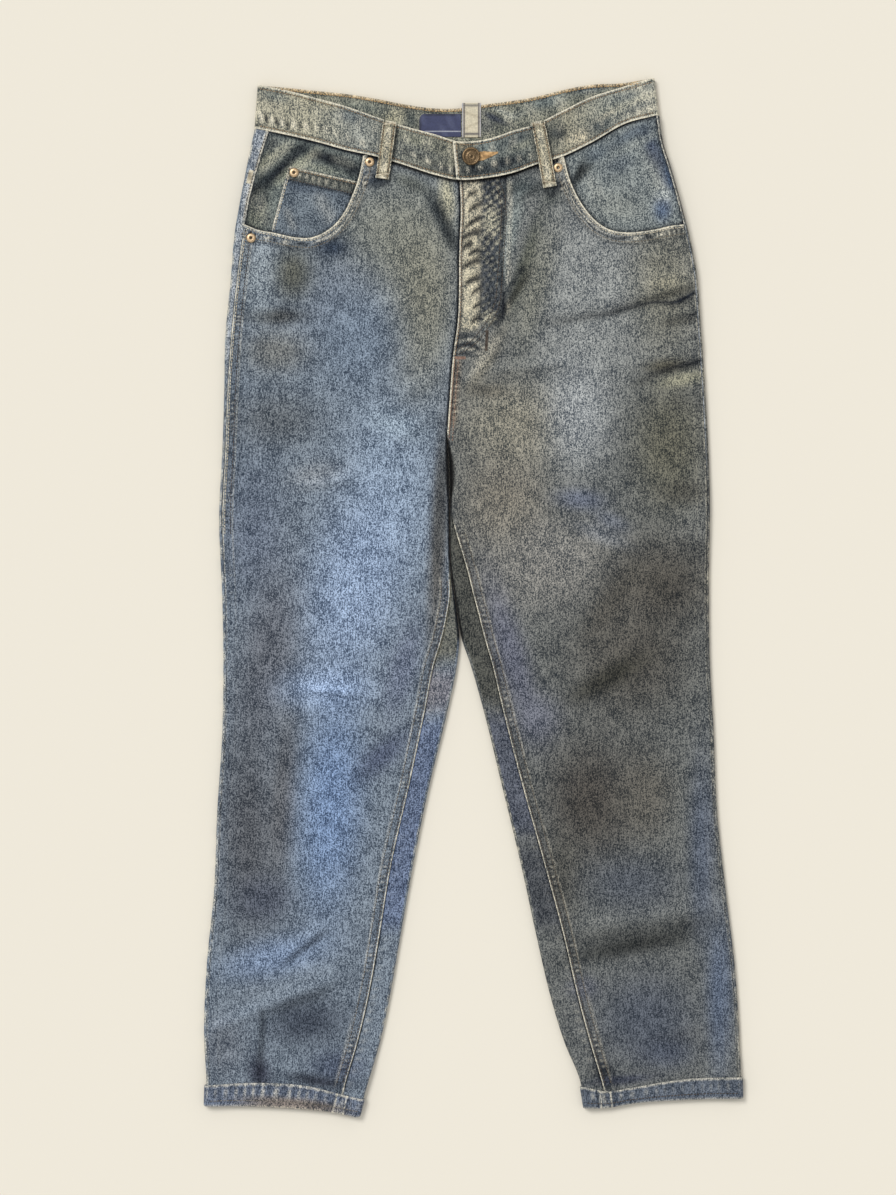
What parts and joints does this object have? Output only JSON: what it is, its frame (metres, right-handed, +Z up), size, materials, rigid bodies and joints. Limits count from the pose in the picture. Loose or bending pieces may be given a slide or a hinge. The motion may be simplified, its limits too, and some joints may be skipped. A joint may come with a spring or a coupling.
{
  "type": "mom jeans",
  "caption": "High-waisted tapered denim jeans laid flat with the front up, with pockets, belt loops, a buttoned fly and turned-up hems.",
  "frame": {"origin": "middle of the footprint, on the surface that the jeans lie on", "axes": "+Y towards the waist, +Z up out of the front, +X to the wearer's left"},
  "size_m": [0.5169, 0.9944, 0.0141],
  "materials": {
    "denim": "washed mid-blue cotton twill, matt",
    "denim_light": "pale faded cotton twill, matt",
    "denim_dark": "dark cotton twill, matt",
    "thread": "tan polyester topstitching",
    "cotton_tape": "navy woven tape",
    "satin_label": "off-white satin ribbon",
    "brass": "antique, slightly worn"
  },
  "bodies": {
    "root": {"front_left": "denim", "front_right": "denim", "back_left": "denim", "back_right": "denim", "yoke_left": "denim", "yoke_right": "denim", "waistband": "denim", "cuff_left": "denim_light", "cuff_right": "denim_light", "pocket_facing_left": "denim_light", "pocket_facing_right": "denim_light", "coin_pocket": "denim_dark", "fly_shield": "denim", "fly_zip": "cotton_tape", "back_pocket_left": "denim", "back_pocket_right": "denim", "belt_loop_front_left": "denim", "belt_loop_front_right": "denim", "belt_loop_back_left": "denim", "belt_loop_back_middle": "denim", "belt_loop_back_right": "denim", "label_neck": "cotton_tape", "label_size": "satin_label", "button": "brass", "rivet_mouth_left": "brass", "rivet_outseam_left": "brass", "rivet_mouth_right": "brass", "rivet_coin": "brass"}
  },
  "joints": []
}
